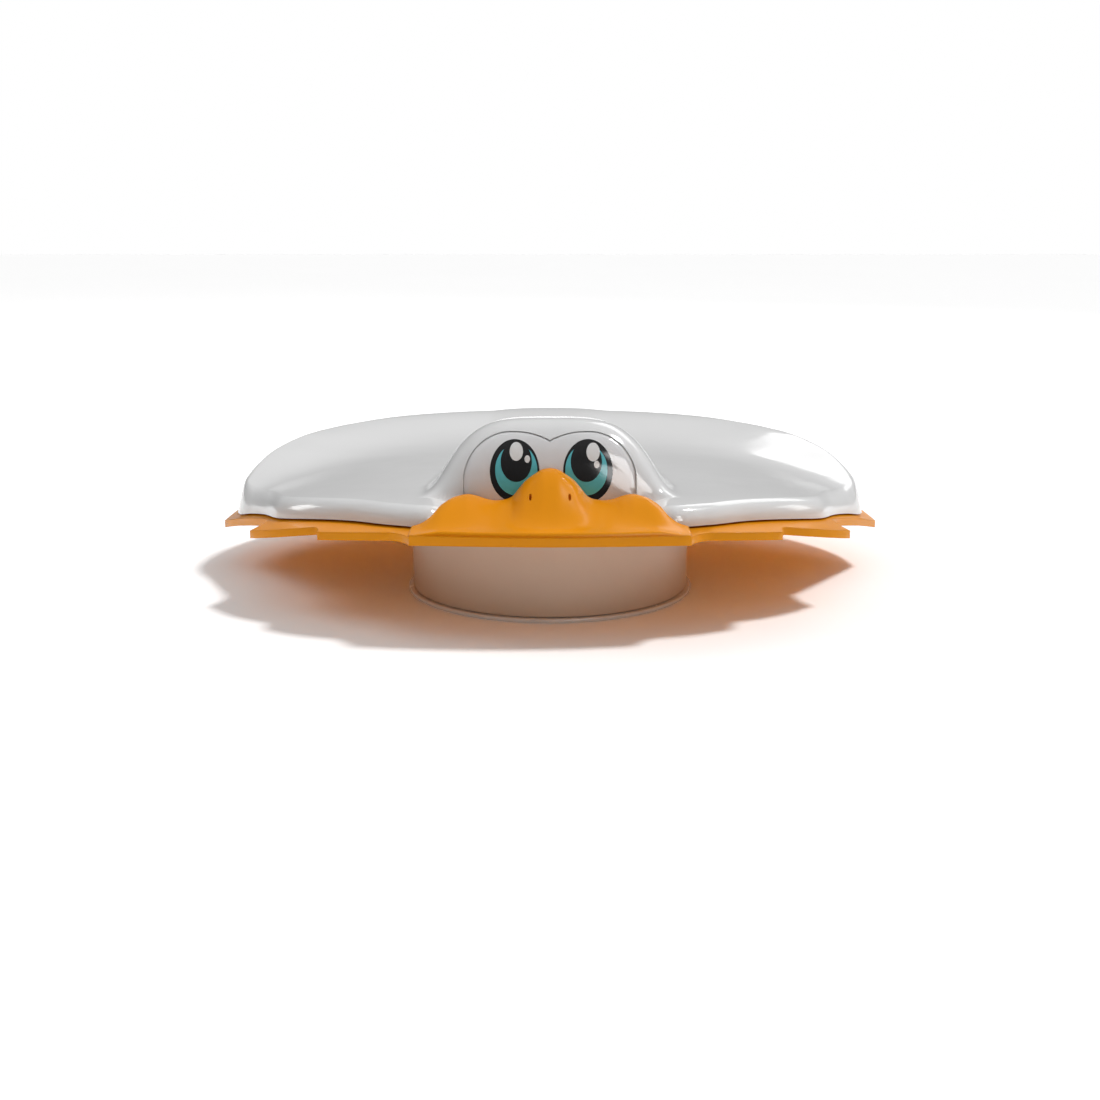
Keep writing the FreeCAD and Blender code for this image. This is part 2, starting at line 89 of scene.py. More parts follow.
# ---------------------------------------------------------------- curves
def smooth_curve(knots):
    """Cubic through the knots that never overshoots; works on arrays."""
    xs = np.array([k[0] for k in knots], float)
    ys = np.array([k[1] for k in knots], float)
    steps = np.diff(ys) / np.diff(xs)
    slopes = np.zeros(len(xs))
    slopes[0], slopes[-1] = steps[0], steps[-1]
    for i in range(1, len(xs) - 1):
        left, right = steps[i - 1], steps[i]
        slopes[i] = 0.0 if left * right <= 0 else 2 * left * right / (left + right)

    def value(x):
        x = np.clip(x, xs[0], xs[-1])
        i = np.clip(np.searchsorted(xs, x, side="right") - 1, 0, len(xs) - 2)
        width = xs[i + 1] - xs[i]
        t = (x - xs[i]) / width
        bend = width * t * (1 - t)
        rise = t * t * (3 - 2 * t)
        return ys[i] + (ys[i + 1] - ys[i]) * rise + bend * (slopes[i] * (1 - t) - slopes[i + 1] * t)

    return value


def tray_top(x):
    return TRAY_TOP - WING_DROOP * (np.abs(x) / BRIM_HALF_WIDTH) ** DROOP_POWER


# Front foot of the shell: distance from the centre line -> y.
outer_foot_front = smooth_curve([
    (0.0, -41.5), (14.0, -42.5), (26.0, -47.0), (37.0, -53.5), (48.0, -49.0), (60.0, -40.0),
    (79.0, -26.0), (88.0, -16.5), (95.0, -2.5), (102.0, 9.5), (108.0, 19.0), (110.8, 27.0)])
# Height of the raised rim by y, and the falling line of the bird's back.
rim_height = smooth_curve([(-20.0, 24.5), (10.0, 26.5), (27.0, 29.9), (43.0, 34.0), (52.0, 36.4),
                           (60.0, 38.0), (70.0, 39.8), (83.0, 41.1), (98.0, 42.4), (121.0, 43.2)])
back_top = smooth_curve([(-20.0, HEAD_TOP), (0.0, 56.5), (20.0, 52.0), (45.0, 46.5), (80.0, 40.5),
                         (121.0, 34.0)])
back_half_width = smooth_curve([(-20.0, HEAD_HALF_WIDTH), (10.0, 36.0), (60.0, 27.0), (121.0, 22.0)])


# ---------------------------------------------------------------- shell form
def foot_front(x, inset):
    """y of the shell's front foot, moved in from the outer foot by the inset."""
    half = SHELL_HALF_WIDTH - inset
    a = np.minimum(np.abs(x) * SHELL_HALF_WIDTH / half, SHELL_HALF_WIDTH)
    y = outer_foot_front(a)
    return y + INSET_SLANT * inset * (BRIM_CENTRE_Y - y) / INSET_SPAN


def foot_back(x, inset):
    """y of the shell's rear foot."""
    t = np.minimum(np.abs(x) / (SHELL_HALF_WIDTH - inset), 1.0)
    return BRIM_CENTRE_Y + (SHELL_HALF_DEPTH - inset) * np.sqrt(1 - t * t)


def front_edge_distance(x, y, inset):
    """Distance in from the front foot, measured square to it."""
    a = np.abs(x)
    slope = foot_front(a + 0.5, inset) - foot_front(a - 0.5, inset)
    return np.maximum(0.0, (y - foot_front(x, inset)) / np.sqrt(1 + slope * slope))


def back_edge_distance(x, y, inset):
    """Distance in from the ellipse that the rear foot lies on."""
    half_x = SHELL_HALF_WIDTH - inset
    half_y = SHELL_HALF_DEPTH - inset
    across = x / half_x
    along = (y - BRIM_CENTRE_Y) / half_y
    reach = np.maximum(np.hypot(across, along), CENTRE_GUARD)
    gradient = np.hypot(across / half_x, along / half_y) / reach
    return np.maximum(0.0, (1 - reach) / gradient)


def smoothstep(low, high, value):
    t = np.clip((value - low) / (high - low), 0, 1)
    return t * t * (3 - 2 * t)


def roll(distance, radius):
    """Quarter circle: 0 at the edge and 1 from the radius on."""
    return np.sqrt(1 - (1 - np.minimum(distance / radius, 1.0)) ** 2)


def fade(distance, reach):
    """1 at the edge, a half at the reach, and nothing far in."""
    return 1 / (1 + (distance / reach) ** 3)


def head_height(x, y, inset):
    """Dome of the head in front, the narrowing line of the back behind it."""
    in_front = y < HEAD_CENTRE_Y
    width = np.where(in_front, HEAD_HALF_WIDTH, back_half_width(y)) - inset
    top = np.where(in_front, HEAD_TOP, back_top(y)) - inset
    low = tray_top(x) - HEAD_SINK
    across = np.maximum(0.0, 1 - (np.abs(x) / width) ** HEAD_SIDE_POWER) ** HEAD_SIDE_EASE
    ahead = np.maximum(0.0, HEAD_CENTRE_Y - y) / (HEAD_FRONT_REACH - inset)
    along = np.maximum(0.0, 1 - ahead ** HEAD_FRONT_POWER) ** HEAD_FRONT_EASE
    return low + (top - low) * across * along


def shell_height(x, y, inset):
    """Height of the shell's surface: wings, rim, ledge and head in one, rolled down to the foot."""
    base = tray_top(x)
    front = front_edge_distance(x, y, inset)
    back = back_edge_distance(x, y, inset)
    rim_part = fade(back, RIM_REACH)
    rise = rim_height(y) - base - DISH_HEIGHT
    wing = base + DISH_HEIGHT + (rise + np.hypot(rise, RIM_BLEND)) / 2 * rim_part
    wing = wing + (SHOULDER_HEIGHT - DISH_HEIGHT) * fade(front, SHOULDER_REACH) * (1 - rim_part) - inset
    brow = (1 - smoothstep(*BROW_SIDES, np.abs(x))) * (1 - smoothstep(*BROW_DEPTH, y))
    wing = wing + (base + BROW_LEDGE - inset - wing) * brow
    head = head_height(x, y, inset)
    top = (wing + head + np.hypot(wing - head, HEAD_BLEND)) / 2
    foot = base + FOOT_STEP
    return foot + (top - foot) * roll(front, EDGE_ROLL) * roll(back, EDGE_ROLL)


def front_surface_y(x, z):
    """y of the head's front where the shell has the height z, by halving."""
    x = np.asarray(x, float)
    low = np.full(x.shape, FACE_SEARCH_Y)
    high = np.full(x.shape, HEAD_CENTRE_Y)
    for _ in range(HALVINGS):
        middle = (low + high) / 2
        below = shell_height(x, middle, 0.0) < z
        low = np.where(below, middle, low)
        high = np.where(below, high, middle)
    return (low + high) / 2


# ---------------------------------------------------------------- mesh helpers
def make_object(name, points_mm, faces, smooth_angle=35.0):
    """New mesh object from points in millimetres, with doubles joined and normals outward."""
    mesh = bpy.data.meshes.new(name)
    mesh.from_pydata([tuple(p) for p in np.asarray(points_mm) * MM], [], faces)
    mesh.update()
    obj = bpy.data.objects.new(name, mesh)
    bpy.context.collection.objects.link(obj)
    clean = bmesh.new()
    clean.from_mesh(mesh)
    bmesh.ops.remove_doubles(clean, verts=clean.verts, dist=1e-7)
    bmesh.ops.recalc_face_normals(clean, faces=clean.faces)
    clean.to_mesh(mesh)
    clean.free()
    shade(obj, smooth_angle)
    return obj


def shade(obj, angle):
    """Smooth shading with sharp edges above the angle, in degrees."""
    mesh = obj.data
    mesh.polygons.foreach_set("use_smooth", [True] * len(mesh.polygons))
    mesh.set_sharp_from_angle(angle=math.radians(angle))


def grid_faces(rows, columns, start=0, wrap=False):
    """Quads between neighbouring rows of points; wrap closes each row into a ring."""
    faces = []
    last = columns if wrap else columns - 1
    for i in range(rows - 1):
        for j in range(last):
            a = start + i * columns + j
            b = start + i * columns + (j + 1) % columns
            faces.append((a, b, b + columns, a + columns))
    return faces


# ---------------------------------------------------------------- materials
DRIFT_SCALE = 18.0       # slow change of colour
SMEAR_SCALE = 95.0       # uneven gloss
WAVE_SCALE = 40.0        # faint unevenness of a moulded surface
WAVE_HEIGHT = 0.0004
GRAIN_HEIGHT = 0.0002
PLASTIC_IOR = 1.5


def new_material(name):
    material = bpy.data.materials.new(name)
    material.use_nodes = True
    nodes = material.node_tree.nodes
    return material, nodes, material.node_tree.links, nodes["Principled BSDF"]


def noise(nodes, links, scale, detail, coords):
    texture = nodes.new("ShaderNodeTexNoise")
    texture.inputs["Scale"].default_value = scale
    texture.inputs["Detail"].default_value = detail
    links.new(coords, texture.inputs["Vector"])
    return texture.outputs["Fac"]


def ramp(nodes, links, source, stops):
    node = nodes.new("ShaderNodeValToRGB")
    elements = node.color_ramp.elements
    while len(elements) < len(stops):
        elements.new(0.5)
    for element, (position, colour) in zip(elements, stops):
        element.position = position
        element.color = (*colour, 1.0)
    links.new(source, node.inputs["Fac"])
    return node.outputs["Color"]


def spread(nodes, links, source, low, high):
    """Stretches the middle of a noise over the range from low to high."""
    node = nodes.new("ShaderNodeMapRange")
    node.inputs["To Min"].default_value = low
    node.inputs["To Max"].default_value = high
    node.inputs["From Min"].default_value = 0.3
    node.inputs["From Max"].default_value = 0.7
    links.new(source, node.inputs["Value"])
    return node.outputs["Result"]


def plastic(name, light, dark, rough=(0.1, 0.2), grain=2500.0, bump=0.02, waviness=0.25, gloss=0.5,
            round_edge=0.0):
    """Moulded plastic: slow colour drift, uneven gloss, fine grain and faint surface waves."""
    material, nodes, links, shader = new_material(name)
    coords = nodes.new("ShaderNodeTexCoord").outputs["Object"]
    slow = noise(nodes, links, DRIFT_SCALE, 4.0, coords)
    links.new(ramp(nodes, links, slow, [(0.3, dark), (0.7, light)]), shader.inputs["Base Color"])
    fine = noise(nodes, links, grain, 2.0, coords)
    smear = noise(nodes, links, SMEAR_SCALE, 5.0, coords)
    links.new(spread(nodes, links, smear, *rough), shader.inputs["Roughness"])
    waves = noise(nodes, links, WAVE_SCALE, 2.0, coords)
    wave_bump = nodes.new("ShaderNodeBump")
    wave_bump.inputs["Strength"].default_value = waviness
    wave_bump.inputs["Distance"].default_value = WAVE_HEIGHT
    links.new(waves, wave_bump.inputs["Height"])
    if round_edge > 0:
        soft_edge = nodes.new("ShaderNodeBevel")
        soft_edge.samples = 4
        soft_edge.inputs["Radius"].default_value = round_edge * MM
        links.new(soft_edge.outputs["Normal"], wave_bump.inputs["Normal"])
    grain_bump = nodes.new("ShaderNodeBump")
    grain_bump.inputs["Strength"].default_value = bump
    grain_bump.inputs["Distance"].default_value = GRAIN_HEIGHT
    links.new(fine, grain_bump.inputs["Height"])
    links.new(wave_bump.outputs["Normal"], grain_bump.inputs["Normal"])
    links.new(grain_bump.outputs["Normal"], shader.inputs["Normal"])
    shader.inputs["IOR"].default_value = PLASTIC_IOR
    shader.inputs["Specular IOR Level"].default_value = gloss
    return material


SHELL_WHITE = plastic("shell_white", (0.80, 0.80, 0.80), (0.78, 0.78, 0.78), (0.08, 0.14))
FACE_WHITE = plastic("face_white", (0.80, 0.80, 0.81), (0.78, 0.78, 0.79), (0.05, 0.10))
ORANGE = plastic("tray_orange", (0.85, 0.305, 0.004), (0.82, 0.285, 0.003), (0.2, 0.26), gloss=0.12,
                 waviness=0.12, round_edge=0.5)
# The white cup is painted darker and orange-brown: painted shade, and painted orange bounce light from the
# tray and the shadowed floor.
CUP_WHITE_PAINTED_SHADE = plastic("cup_white", (0.68, 0.53, 0.41), (0.65, 0.50, 0.38), (0.3, 0.34), waviness=0.03,
                    round_edge=0.3)
DIAL_WHITE = plastic("dial_white", (0.88, 0.88, 0.88), (0.86, 0.86, 0.86), (0.2, 0.3), round_edge=0.4)
INK_BLACK = plastic("ink_black", (0.012, 0.012, 0.013), (0.008, 0.008, 0.009), (0.08, 0.14))
INK_TEAL = plastic("ink_teal", (0.13, 0.58, 0.66), (0.11, 0.54, 0.61), (0.08, 0.14))
INK_WHITE = plastic("ink_white", (0.86, 0.87, 0.87), (0.84, 0.85, 0.85), (0.08, 0.14))
RUBBER = plastic("seal_rubber", (0.03, 0.03, 0.032), (0.022, 0.022, 0.023), (0.5, 0.7), bump=0.1)
FOAM = plastic("foam", (0.85, 0.85, 0.82), (0.78, 0.78, 0.75), (0.8, 0.95), grain=900.0, bump=0.6)
TABLET = plastic("tablet", (0.88, 0.88, 0.84), (0.80, 0.80, 0.75), (0.75, 0.95), grain=1600.0, bump=0.5)
STEEL = plastic("steel", (0.62, 0.62, 0.64), (0.5, 0.5, 0.52), (0.2, 0.35))
STEEL.node_tree.nodes["Principled BSDF"].inputs["Metallic"].default_value = 1.0


def finish_piece(piece, material, body, slot, *nodes):
    """Gives a piece its material, the body it rides on and the CAD nodes it replaces; the slot argument is
    not used.
    """
    piece.data.materials.clear()
    piece.data.materials.append(material)
    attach(piece, body)
    if nodes:
        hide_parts(*nodes)


# ---------------------------------------------------------------- upper shell
SHELL_SECTIONS = 261      # sections from wing tip to wing tip
SHELL_COLUMNS = 150       # places along one section between its rolled ends
ROLL_POINTS = 15
FRONT_CROWDING = 1.6      # puts the places closer together towards the front
TIP_TURN = 0.4995 * math.pi
SHELL_SHARP = 50.0


def section_ys(x, inset, count):
    """y places along one section, close together where the surface turns."""
    front = foot_front(x, inset)
    back = foot_back(x, inset)
    radius = min(EDGE_ROLL, (back - front) / 3)
    turns = np.linspace(0, math.pi / 2, ROLL_POINTS)
    edge = radius * (1 - np.cos(turns))
    inner = np.linspace(0, 1, count) ** FRONT_CROWDING
    middle = front + radius + (back - front - 2 * radius) * inner[1:-1]
    return np.concatenate([front + edge, middle, back - edge[::-1]])


def shell_surface(inset):
    """Grid of points on the shell's form, one row for each section, closer together at the tips."""
    half = SHELL_HALF_WIDTH - inset
    turns = np.linspace(-TIP_TURN, TIP_TURN, SHELL_SECTIONS)
    xs = half * np.sin(turns)
    rows = []
    for x in xs:
        ys = section_ys(x, inset, SHELL_COLUMNS)
        zs = shell_height(np.full(ys.shape, x), ys, inset)
        rows.append(np.column_stack([np.full(ys.shape, x), ys, zs]))
    return np.array(rows)


def build_shell():
    """Outer and inner surface, joined round their edge into one closed wall."""
    outer = shell_surface(0.0)
    inner = shell_surface(SHELL_WALL)
    rows, columns = outer.shape[:2]
    points = np.concatenate([outer.reshape(-1, 3), inner.reshape(-1, 3)])
    faces = grid_faces(rows, columns)
    offset = rows * columns
    faces += [tuple(reversed(f)) for f in grid_faces(rows, columns, offset)]
    loop = [i * columns for i in range(rows)]
    loop += [(rows - 1) * columns + j for j in range(1, columns)]
    loop += [i * columns + columns - 1 for i in range(rows - 2, -1, -1)]
    loop += [j for j in range(columns - 2, 0, -1)]
    for a, b in zip(loop, loop[1:] + loop[:1]):
        faces.append((b, a, a + offset, b + offset))
    return make_object("shell_body", points, faces, SHELL_SHARP)


def cut_with(obj, tool):
    """Takes the tool's form out of a mesh and removes the tool."""
    cut = obj.modifiers.new("cut", "BOOLEAN")
    cut.object = tool
    cut.operation = "DIFFERENCE"
    cut.solver = "EXACT"
    with bpy.context.temp_override(object=obj, active_object=obj, selected_objects=[obj]):
        bpy.ops.object.modifier_apply(modifier="cut")
    bpy.data.objects.remove(tool, do_unlink=True)


# ---------------------------------------------------------------- face plate and eyes
FACE_HALF_WIDTH = 26.7
FACE_BOTTOM = 34.5
FACE_CENTRE = (0, 46)
FACE_CLEFT_Z = 54.3       # bottom of the notch between the two round tops
CLEFT_PULL = 1.4          # the notch moves more than the rest when the outline shrinks
FACE_CLEFT_SIDE = (5.2, 56.1)
FACE_CROWN = (11.5, 56.7)
FACE_SHOULDER = (21.6, 53.2)
FACE_SHOULDER_Z = 44.0    # where the round top meets the straight sides
PATCH_SHARP = 40.0
RECESS_DEPTH = 1.3
RECESS_TOOL_FRONT = -8.0  # how far the cutter stands out in front of the head
PLATE_GAP = 0.28          # between the insert's edge and its recess
PLATE_DEPTH = 0.25        # the insert's front below the head's surface
PLATE_BACK = 1.25
PLATE_EDGE = 0.25         # how far the insert's edge is set back
PRINT_STEP = 0.03         # each printed layer lies this far in front of the last
PRINT_BACK = 0.1          # how far the print reaches into the insert


def arc_points(a, b, c, count):
    """Points on the circle through three points, from a to c."""
    ax, ay = a
    bx, by = b
    cx, cy = c
    d = 2 * (ax * (by - cy) + bx * (cy - ay) + cx * (ay - by))
    ux = ((ax**2 + ay**2) * (by - cy) + (bx**2 + by**2) * (cy - ay) + (cx**2 + cy**2) * (ay - by)) / d
    uy = ((ax**2 + ay**2) * (cx - bx) + (bx**2 + by**2) * (ax - cx) + (cx**2 + cy**2) * (bx - ax)) / d
    start = math.atan2(ay - uy, ax - ux)
    middle = math.atan2(by - uy, bx - ux)
    end = math.atan2(cy - uy, cx - ux)
    full = 2 * math.pi
    forward = (middle - start) % full <= (end - start) % full
    sweep = (end - start) % full if forward else -((start - end) % full)
    angles = start + sweep * np.linspace(0, 1, count)
    radius = math.hypot(ax - ux, ay - uy)
    return np.column_stack([ux + radius * np.cos(angles), uy + radius * np.sin(angles)])


def face_outline(margin):
    """Heart-topped outline as (x, z), clockwise from the notch as seen from the front."""
    side_x = FACE_HALF_WIDTH - margin
    cleft = (0.0, FACE_CLEFT_Z - CLEFT_PULL * margin)
    cleft_side = (FACE_CLEFT_SIDE[0], FACE_CLEFT_SIDE[1] - margin)
    crown = (FACE_CROWN[0], FACE_CROWN[1] - margin)
    shoulder = (FACE_SHOULDER[0], FACE_SHOULDER[1] - margin)
    first = arc_points(cleft, cleft_side, crown, 12)
    second = arc_points(crown, shoulder, (side_x, FACE_SHOULDER_Z), 24)
    down = np.column_stack([np.full(10, side_x), np.linspace(FACE_SHOULDER_Z, FACE_BOTTOM + margin, 10)])
    bottom = np.column_stack([np.linspace(side_x, 0, 20), np.full(20, FACE_BOTTOM + margin)])
    right = np.concatenate([first, second[1:], down[1:], bottom[1:]])
    left = right[::-1].copy()
    left[:, 0] *= -1
    return np.concatenate([right, left[1:-1]])


def face_patch(name, outline, front_depth, back_depth, centre, edge=0.0, rings=26):
    """Plate that follows the head between two depths behind its surface. Outline is (x, z)."""
    centre = np.array(centre)
    count = len(outline)
    scales = np.linspace(0, 1, rings)[1:]

    def layer(depth):
        points = [centre]
        for s in scales:
            points.extend(centre + (outline - centre) * s)
        points = np.array(points)
        y = front_surface_y(points[:, 0], points[:, 1]) + depth
        return np.column_stack([points[:, 0], y, points[:, 1]])

    front = layer(front_depth)
    back = layer(back_depth)
    if edge > 0:
        rim = slice(1 + (rings - 2) * count, 1 + (rings - 1) * count)
        front[rim, 1] += edge
    size = len(front)
    faces = []
    for start, flip in ((0, False), (size, True)):
        for k in range(count):
            f = (start, start + 1 + k, start + 1 + (k + 1) % count)
            faces.append(tuple(reversed(f)) if flip else f)
        for f in grid_faces(rings - 1, count, start + 1, wrap=True):
            faces.append(tuple(reversed(f)) if flip else f)
    outer = 1 + (rings - 2) * count
    for k in range(count):
        a = outer + k
        b = outer + (k + 1) % count
        faces.append((a, b, b + size, a + size))
    return make_object(name, np.concatenate([front, back]), faces, PATCH_SHARP)


def ellipse_outline(centre, half_width, half_height, count=96):
    """Upright ellipse as (x, z)."""
    turns = np.linspace(0, 2 * math.pi, count, endpoint=False)
    return np.column_stack([centre[0] + half_width * np.cos(turns), centre[1] + half_height * np.sin(turns)])


# each eye: label, iris, pupil, big glint, small glint as (x, z, half width, half height)
EYES = {
    "left": [(11.7, 45.2, 7.65, 9.3), (11.2, 45.5, 6.5, 7.6), (11.2, 48.0, 4.8, 6.0),
             (13.3, 50.8, 2.05, 2.7), (14.4, 47.2, 0.85, 1.1)],
    "right": [(-10.9, 45.2, 7.65, 9.3), (-10.4, 45.5, 6.5, 7.6), (-10.4, 48.0, 4.8, 6.0),
              (-10.4, 51.0, 2.05, 2.7), (-7.0, 48.8, 0.85, 1.1)],
}
EYE_LAYERS = [("label", INK_BLACK), ("iris", INK_TEAL), ("pupil", INK_BLACK),
              ("glint", INK_WHITE), ("spark", INK_WHITE)]


def build_face(shell):
    """Cuts the recess, then adds the insert and its printed eyes."""
    tool = face_patch("face_recess_tool", face_outline(0.0), RECESS_TOOL_FRONT, RECESS_DEPTH, FACE_CENTRE,
                      rings=14)
    cut_with(shell, tool)
    shade(shell, SHELL_SHARP)
    plate = face_patch("face_insert", face_outline(PLATE_GAP), PLATE_DEPTH, PLATE_BACK, FACE_CENTRE,
                       edge=PLATE_EDGE)
    finish_piece(plate, FACE_WHITE, "float", "face_white", "face_plate")
    for side, layers in EYES.items():
        for number, ((name, material), (x, z, half_w, half_h)) in enumerate(zip(EYE_LAYERS, layers)):
            depth = PLATE_DEPTH - PRINT_STEP - PRINT_STEP * number
            outline = ellipse_outline((x, z), half_w, half_h)
            piece = face_patch(f"eye_{side}_{name}", outline, depth, PLATE_DEPTH + PRINT_BACK, (x, z),
                               rings=10)
            nodes = [f"eye_{side}"] if number == 0 else []
            finish_piece(piece, material, "float", "eye_print", *nodes)


# ---------------------------------------------------------------- orange tray and the beak
BEAK_HALF_WIDTH = 41.2
BEAK_SWEEP = 3.6              # how far back the front edge has moved at BEAK_SWEEP_X
BEAK_SWEEP_X = 41.0
BEAK_SEAT = 31.6              # level where the upper bill sits on the cut tray
BEAK_SINK = 0.2               # how far it reaches down into the tray
BEAK_SETBACK = 1.5            # front of the bill's top behind the tray's edge
BEAK_NOSE = 0.9               # rounding of that front
BEAK_CLIMB = (0.1, 1.0)       # where along a section the bill rises
BEAK_BACK = (1.2, 2.4, 2.4)   # y of the places behind the edge, inside the face
BEAK_BACK_DROP = (0.05, 0.3)  # how far below the edge the first two of them lie
BEAK_SECTIONS = 221
NOSE_POINTS = 7
TOP_POINTS = 60
SEAT_POINTS = 12
UPPER_BILL_EDGE = 1.3
EDGE_FADE = (31.0, 41.0)      # |x| where that edge thins out
BEAK_SHARP = 50.0
NOSTRIL = (5.9, 0.62)         # |x|, and place along the section
NOSTRIL_SIZE = (0.4, 1.7, 1.3)
LENS_RINGS = 11
LENS_SEGMENTS = 18
TRAY_SHARP = 28.0
TRAY_CUT_LOW = (-45, -75, BEAK_SEAT)
TRAY_CUT_HIGH = (45, -20, 70)
# Height and y of the bill's edge against the face, by distance from the centre line.
beak_edge_z = smooth_curve([(0.0, 46.2), (2.0, 45.9), (5.0, 44.3), (7.8, 42.2), (9.7, 40.0), (11.8, 37.6),
                            (13.9, 36.8), (16.5, 36.6), (19.7, 37.2), (22.5, 38.3), (25.6, 39.0),
                            (29.0, 38.7), (32.1, 37.5), (35.5, 34.9), (38.5, 32.8), (41.3, 31.8)])
beak_edge_y = smooth_curve([(0.0, -35.0), (12.0, -37.3), (17.6, -38.4), (22.0, -39.2), (25.6, -40.6),
                            (29.0, -43.4), (32.0, -46.8), (35.5, -50.4), (38.5, -52.4), (41.3, -53.2)])


def beak_front_y(a):
    return BRIM_FRONT + BEAK_SWEEP * (a / BEAK_SWEEP_X) ** 2


def bill_surface(x, s):
    """Place on the upper bill: s runs from 0 at its front edge to 1 at the face."""
    a = np.abs(x)
    low = BEAK_SEAT + UPPER_BILL_EDGE * (1 - smoothstep(*EDGE_FADE, a))
    front = beak_front_y(a) + BEAK_SETBACK
    y = front + (beak_edge_y(a) - front) * s
    z = low + (np.maximum(beak_edge_z(a), low) - low) * smoothstep(*BEAK_CLIMB, s)
    return y, z


def beak_section(x):
    """Closed loop of (y, z) round the upper bill at one x."""
    a = abs(x)
    front = beak_front_y(a)
    _, low = bill_surface(x, 0.0)
    height = low - BEAK_SEAT
    turns = np.linspace(0, math.pi / 2, NOSE_POINTS)[:-1]
    nose_y = front + BEAK_SETBACK - BEAK_NOSE * np.cos(turns)
    nose_z = BEAK_SEAT + height * np.sin(turns)
    top_y, top_z = bill_surface(x, np.linspace(0, 1, TOP_POINTS))
    back_y = top_y[-1] + np.array(BEAK_BACK)
    back_z = np.append(top_z[-1] - np.array(BEAK_BACK_DROP), BEAK_SEAT - BEAK_SINK)
    seat = np.linspace(back_y[-1], front + BEAK_SETBACK - BEAK_NOSE, SEAT_POINTS)[1:]
    ys = np.concatenate([nose_y, top_y, back_y, seat])
    zs = np.concatenate([nose_z, top_z, back_z, np.full(seat.shape, BEAK_SEAT - BEAK_SINK)])
    return np.column_stack([np.full(ys.shape, x), ys, zs])


def build_beak():
    """Upper bill lofted from wing to wing, with two nostrils cut in."""
    rows = [beak_section(x) for x in np.linspace(-BEAK_HALF_WIDTH, BEAK_HALF_WIDTH, BEAK_SECTIONS)]
    count = len(rows[0])
    faces = grid_faces(len(rows), count, wrap=True)
    faces.append(tuple(range(count)))
    last = (len(rows) - 1) * count
    faces.append(tuple(reversed(range(last, last + count))))
    beak = make_object("upper_bill", np.concatenate(rows), faces, BEAK_SHARP)
    y, z = bill_surface(*NOSTRIL)
    for side in (-1, 1):
        cut_with(beak, lens("nostril_tool", (side * NOSTRIL[0], float(y), float(z)), NOSTRIL_SIZE))
    shade(beak, BEAK_SHARP)
    finish_piece(beak, ORANGE, "float", "tray_orange")


def lens(name, place, radii):
    """Closed ellipsoid used as a cutter."""
    points = []
    for ring in np.linspace(0, math.pi, LENS_RINGS):
        for turn in np.linspace(0, 2 * math.pi, LENS_SEGMENTS, endpoint=False):
            points.append((radii[0] * math.sin(ring) * math.cos(turn),
                           radii[1] * math.sin(ring) * math.sin(turn), radii[2] * math.cos(ring)))
    faces = grid_faces(LENS_RINGS, LENS_SEGMENTS, wrap=True)
    return make_object(name, np.array(points) + np.array(place), faces)


def block(name, low, high):
    """Box used as a cutter."""
    corners = [(x, y, z) for x in (low[0], high[0]) for y in (low[1], high[1]) for z in (low[2], high[2])]
    faces = [(0, 1, 3, 2), (4, 6, 7, 5), (0, 4, 5, 1), (2, 3, 7, 6), (0, 2, 6, 4), (1, 5, 7, 3)]
    return make_object(name, corners, faces)


def build_tray():
    """The tray's own mesh cut level with the seat of the upper bill."""
    tray = bpy.data.objects.new("tray_body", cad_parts["base_tray"].data.copy())
    bpy.context.collection.objects.link(tray)
    cut_with(tray, block("bill_tool", TRAY_CUT_LOW, TRAY_CUT_HIGH))
    shade(tray, TRAY_SHARP)
    finish_piece(tray, ORANGE, "float", "tray_orange", "base_tray")


# ---------------------------------------------------------------- build everything
shell_object = build_shell()
build_face(shell_object)
finish_piece(shell_object, SHELL_WHITE, "float", "shell_white", "upper_shell")

build_tray()
build_beak()

# The CAD nodes that keep their own mesh.
NODE_LOOKS = {"shell_gasket": RUBBER, "foam_head": FOAM, "foam_back": FOAM,
              "case_screws": STEEL, "screw_caps": ORANGE, "cup_seal": RUBBER, "cup": CUP_WHITE_PAINTED_SHADE,
              "dose_dial": DIAL_WHITE, "dial_washer": RUBBER, "dial_clip": STEEL}
NODE_LOOKS.update({f"tablet_{i}": TABLET for i in range(1, 7)})
for node, look in NODE_LOOKS.items():
    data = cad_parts[node].data
    for index in range(len(data.materials)):
        data.materials[index] = look


# ---------------------------------------------------------------- floor, lights and camera
FLOOR_HALF_SIZE = 4000.0   # mm
FLOOR_GAIN = 1.12
SKY = [(0.0, 0.1), (0.25, 0.16), (0.6, 0.28), (1.0, 0.55)]   # height of the direction, brightness
CAMERA_PLACE = (0.0, -0.4593, 0.1222)
CAMERA_TILT = 13.51        # degrees below level
CAMERA_LENS = 45.77


def floor_material():
    """Over-bright matt white, so that the floor stays white under a modest light."""
    material, nodes, links, shader = new_material("studio_floor")
    nodes.remove(shader)
    matt = nodes.new("ShaderNodeBsdfDiffuse")
    coords = nodes.new("ShaderNodeTexCoord").outputs["Object"]
    slow = noise(nodes, links, 3.0, 3.0, coords)
    low = (FLOOR_GAIN - 0.01,) * 3
    high = (FLOOR_GAIN,) * 3
    links.new(ramp(nodes, links, slow, [(0.3, low), (0.7, high)]), matt.inputs["Color"])
    links.new(matt.outputs["BSDF"], nodes["Material Output"].inputs["Surface"])
    return material


floor_corners = np.array([(-1, -1, 0), (1, -1, 0), (1, 1, 0), (-1, 1, 0)]) * FLOOR_HALF_SIZE
floor = make_object("studio_floor", floor_corners, [(0, 1, 2, 3)])
floor.data.materials.append(floor_material())


def aim(lamp, towards):
    """Turns a lamp at a place."""
    direction = Vector(towards) - lamp.location
    lamp.rotation_euler = direction.to_track_quat("-Z", "Y").to_euler()


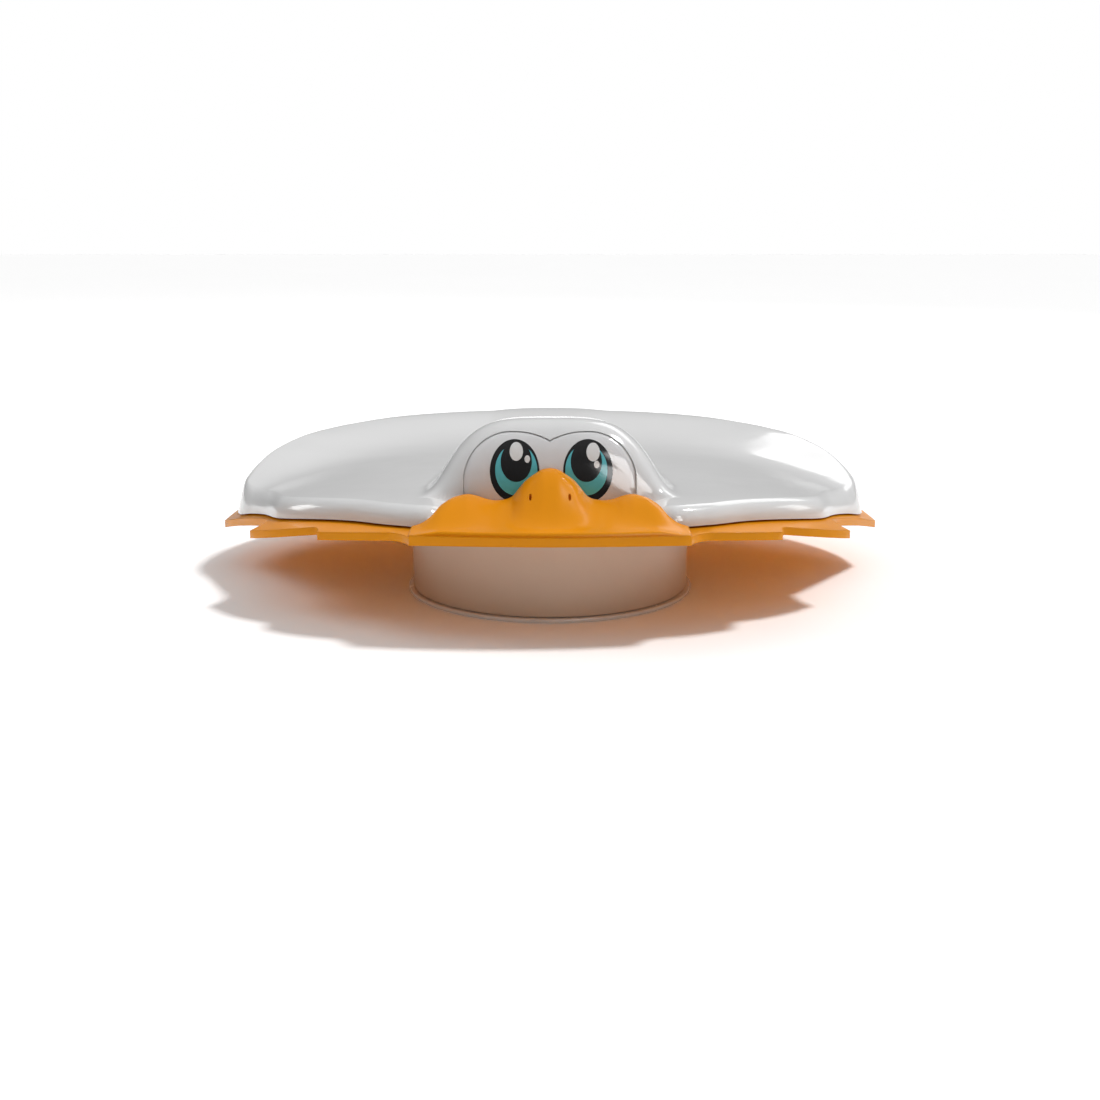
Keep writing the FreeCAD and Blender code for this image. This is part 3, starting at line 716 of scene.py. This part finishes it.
def sun_light(name, place, level, angle):
    """Sun that alone gives a level floor the radiance `level` times its colour."""
    data = bpy.data.lights.new(name, "SUN")
    height = place[2] / Vector(place).length
    data.energy = level * math.pi / height
    data.angle = math.radians(angle)
    lamp = bpy.data.objects.new(name, data)
    lamp.location = place
    aim(lamp, (0, 0, 0))
    bpy.context.collection.objects.link(lamp)


def soft_box(name, place, width, height, radiance, lights_surfaces, mirrored=True):
    """Area light of a given radiance; a window that only shows in reflections lights no surface."""
    data = bpy.data.lights.new(name, "AREA")
    data.shape = "RECTANGLE"
    data.size = width
    data.size_y = height
    data.energy = radiance * math.pi * width * height
    lamp = bpy.data.objects.new(name, data)
    lamp.location = place
    lamp.visible_camera = False
    lamp.visible_diffuse = lights_surfaces
    lamp.visible_glossy = mirrored
    aim(lamp, (0, 0, 0.03))
    bpy.context.collection.objects.link(lamp)


sun_light("key", (0.48, 0.19, 0.86), 0.52, 9.0)
soft_box("back_box", (0.5, 0.9, 0.75), 0.7, 0.4, 2.4, True)
soft_box("front_window", (0.5, -0.93, 0.68), 0.42, 0.6, 8.0, False)
soft_box("right_window", (0.95, 0.25, 0.43), 0.25, 0.3, 4.0, False)
soft_box("left_window", (-0.95, 0.25, 0.43), 0.25, 0.3, 6.0, False)
soft_box("face_window", (0.231, -1.088, 0.45), 0.2, 0.35, 7.0, False)
soft_box("left_fill", (-0.9, 0.3, 0.85), 0.6, 0.5, 2.6, True, mirrored=False)


def studio_world():
    """White behind the object; as a light, dim near the horizon and brighter overhead."""
    world = bpy.data.worlds.new("studio")
    world.use_nodes = True
    nodes = world.node_tree.nodes
    links = world.node_tree.links
    split = nodes.new("ShaderNodeSeparateXYZ")
    links.new(nodes.new("ShaderNodeTexCoord").outputs["Generated"], split.inputs["Vector"])
    sky = ramp(nodes, links, split.outputs["Z"], [(place, (level,) * 3) for place, level in SKY])
    links.new(sky, nodes["Background"].inputs["Color"])
    backdrop = nodes.new("ShaderNodeBackground")
    chooser = nodes.new("ShaderNodeMixShader")
    links.new(nodes.new("ShaderNodeLightPath").outputs["Is Camera Ray"], chooser.inputs["Fac"])
    links.new(nodes["Background"].outputs["Background"], chooser.inputs[1])
    backdrop.inputs["Color"].default_value = (1, 1, 1, 1)
    links.new(backdrop.outputs["Background"], chooser.inputs[2])
    links.new(chooser.outputs["Shader"], nodes["World Output"].inputs["Surface"])
    return world


bpy.context.scene.world = studio_world()

camera_data = bpy.data.cameras.new("photo_view")
camera_data.lens = CAMERA_LENS
camera_data.sensor_width = 36.0
camera = bpy.data.objects.new("photo_view", camera_data)
camera.location = CAMERA_PLACE
camera.rotation_euler = (math.radians(90 - CAMERA_TILT), 0, 0)
bpy.context.collection.objects.link(camera)
bpy.context.scene.camera = camera
bpy.context.scene.view_settings.view_transform = "Standard"
